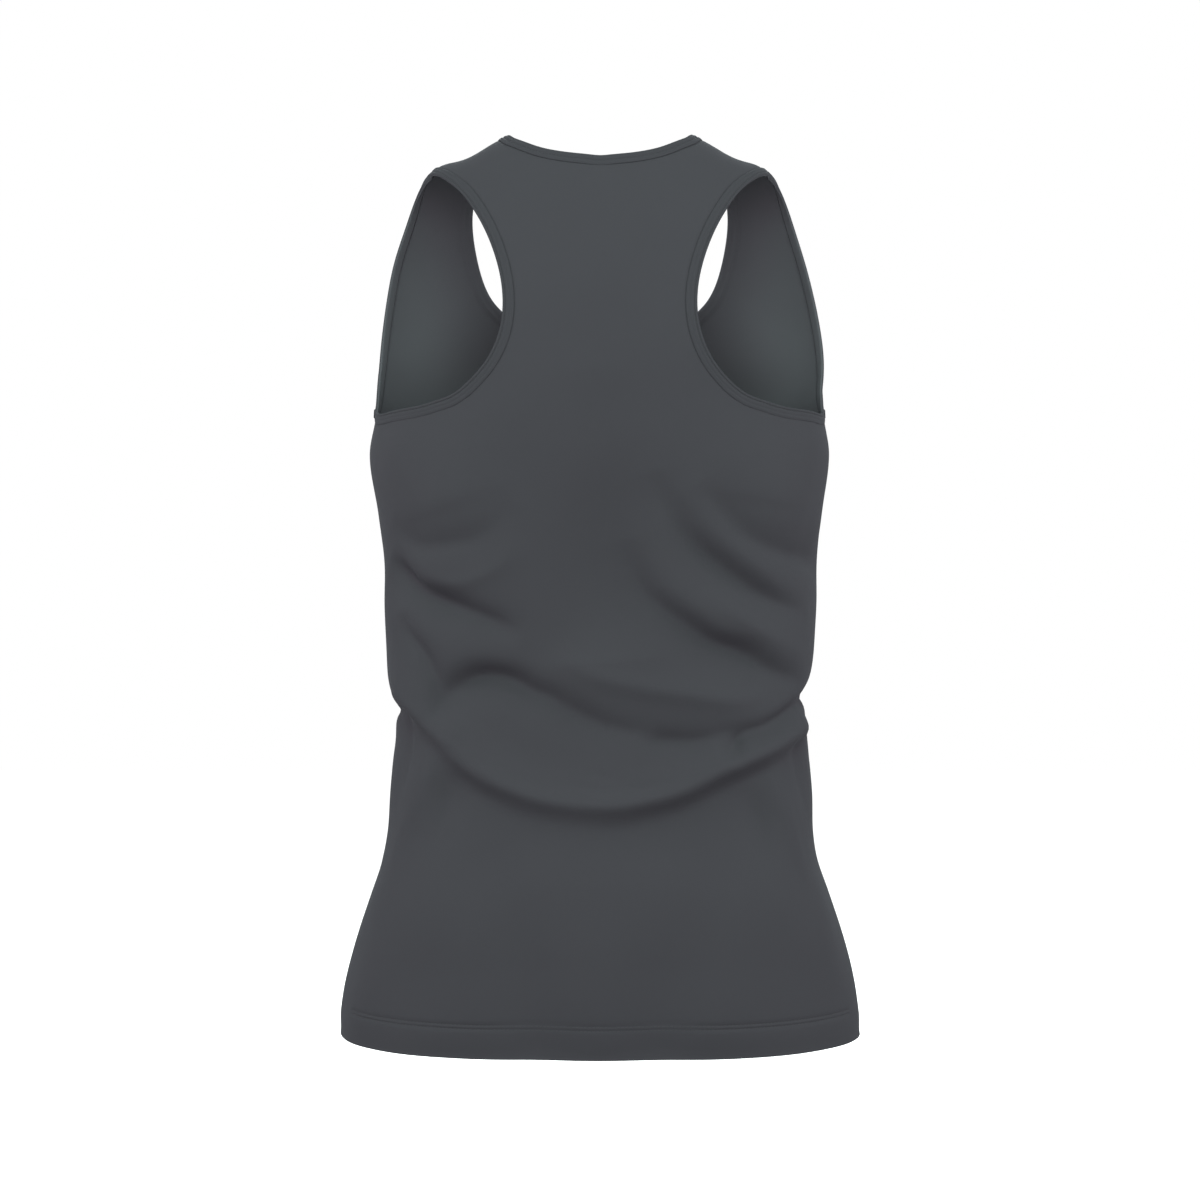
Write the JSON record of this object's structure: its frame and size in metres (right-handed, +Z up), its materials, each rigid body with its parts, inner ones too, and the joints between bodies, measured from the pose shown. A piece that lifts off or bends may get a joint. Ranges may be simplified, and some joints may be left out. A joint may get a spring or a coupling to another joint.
{
  "type": "racerback tank top",
  "caption": "Sleeveless racerback tank top with a scoop front neck, bound neck and armholes and a turned hem, in the hollow shape it has when worn.",
  "frame": {"origin": "midway between the two straps, level with where the wearer's shoulders carry them", "axes": "+X to the wearer's left, +Y to the wearer's back, +Z up"},
  "size_m": [0.366, 0.2398, 0.6254],
  "materials": {
    "jersey": "smooth matt knit jersey, dark slate grey",
    "binding": "the same jersey, folded and stitched"
  },
  "bodies": {
    "root": {"back_panel": "jersey", "front_panel": "jersey", "neck_binding": "binding", "armhole_binding_left": "binding", "armhole_binding_right": "binding"}
  },
  "joints": []
}
